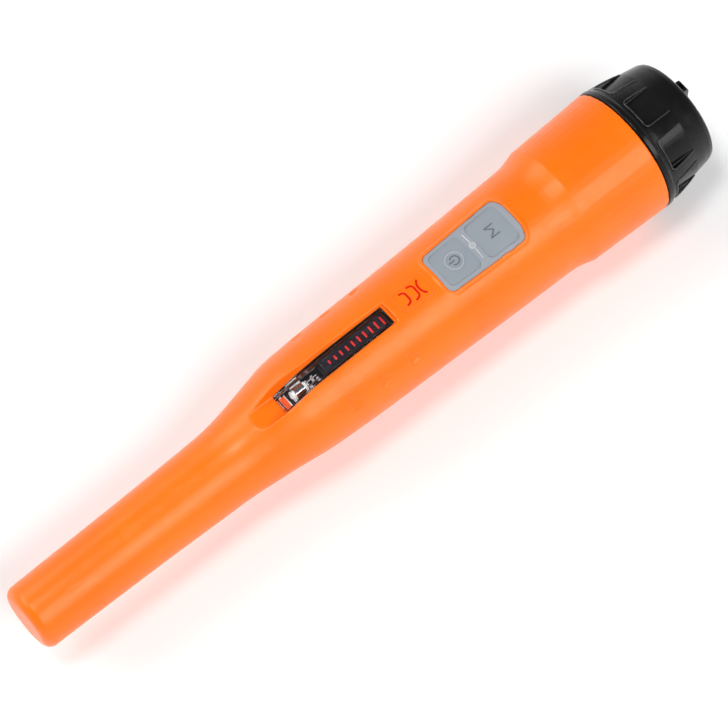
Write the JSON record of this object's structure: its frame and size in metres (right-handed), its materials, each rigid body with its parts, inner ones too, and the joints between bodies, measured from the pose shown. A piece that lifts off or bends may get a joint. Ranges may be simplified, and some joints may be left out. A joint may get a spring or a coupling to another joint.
{
  "type": "pinpointer probe",
  "caption": "Handheld metal-detecting probe: slim round sensing tip, humped handle with clear lamp window and two-key silicone pad, flared collar and screw-on battery cap with finger pockets.",
  "frame": {"origin": "under the middle of the probe's length, on the level of the collar's lowest point", "axes": "+X from the sensing tip to the battery cap, +Z out of the side with the window and keypad"},
  "size_m": [0.238, 0.04, 0.04],
  "materials": {
    "orange_shell": "fine satin moulded texture",
    "clear_window": "clear polished plastic",
    "dark_label": "printed film",
    "grey_silicone": "soft matte silicone",
    "black_cap": "satin moulded",
    "black_plastic": "plain moulded",
    "white_lamp": "clear epoxy",
    "bright_metal": "plated",
    "circuit_board": "green solder mask",
    "black_rubber": "smooth",
    "battery_wrap": "printed steel can",
    "copper_wire": "enamelled wire",
    "ferrite": "sintered",
    "grey_foam": "closed-cell foam",
    "brass_disc": "plain"
  },
  "bodies": {
    "housing": {"main_housing": "orange_shell", "window_lens": "clear_window", "window_label": "dark_label", "keypad_skin": "grey_silicone", "white_lamp": "white_lamp", "lamp_reflector": "bright_metal", "lamp_leads": "bright_metal", "lamp_board": "circuit_board", "label_carrier": "black_plastic", "power_switch_body": "black_plastic", "mode_switch_body": "black_plastic", "switch_board": "circuit_board", "status_lamp": "white_lamp", "status_light_pipe": "white_lamp", "neck_insert": "black_plastic", "neck_seal": "black_rubber", "battery_bay": "black_plastic", "battery_case": "battery_wrap", "positive_terminal": "bright_metal", "negative_terminal": "bright_metal", "contact_board": "circuit_board", "contact_springs": "bright_metal", "coil_former": "black_plastic", "transmit_coil": "copper_wire", "receive_coil": "copper_wire", "ferrite_rod": "ferrite", "tip_foam": "grey_foam", "coil_leads": "copper_wire", "chassis": "black_plastic", "main_board": "circuit_board", "board_screws": "bright_metal", "detector_chip": "black_plastic", "voltage_regulator": "black_plastic", "capacitors": "bright_metal", "piezo_buzzer": "brass_disc", "vibration_motor": "bright_metal"},
    "seal": {"cap_seal": "black_rubber"},
    "cap": {"battery_cap": "black_cap", "cap_pad": "grey_foam"},
    "power_button": {"power_key": "grey_silicone", "power_switch_plunger": "black_plastic"},
    "mode_button": {"mode_key": "grey_silicone", "mode_switch_plunger": "black_plastic"},
    "motor_rotor": {"motor_weight": "bright_metal"}
  },
  "joints": [
    {"name": "seal_lift", "type": "slide", "parent": "housing", "child": "seal", "axis": [1, 0, 0], "range_m": [0, 0.009]},
    {"name": "cap_turn", "type": "hinge", "parent": "seal", "child": "cap", "pos_m": [0.1, 0, 0.02], "axis": [1, 0, 0], "range_deg": [0, 1080]},
    {"name": "power_press", "type": "slide", "parent": "housing", "child": "power_button", "axis": [0, 0, -1], "range_m": [0, 0.00035], "stiffness_N_per_m": 3000},
    {"name": "mode_press", "type": "slide", "parent": "housing", "child": "mode_button", "axis": [0, 0, -1], "range_m": [0, 0.00035], "stiffness_N_per_m": 3000},
    {"name": "motor_spin", "type": "hinge", "parent": "housing", "child": "motor_rotor", "pos_m": [0.01, 0, 0.0169], "axis": [1, 0, 0], "continuous": true}
  ],
  "couplings": [
    {"joint": "seal_lift", "follows": "cap_turn", "m_per_rad": 0.00047746}
  ]
}
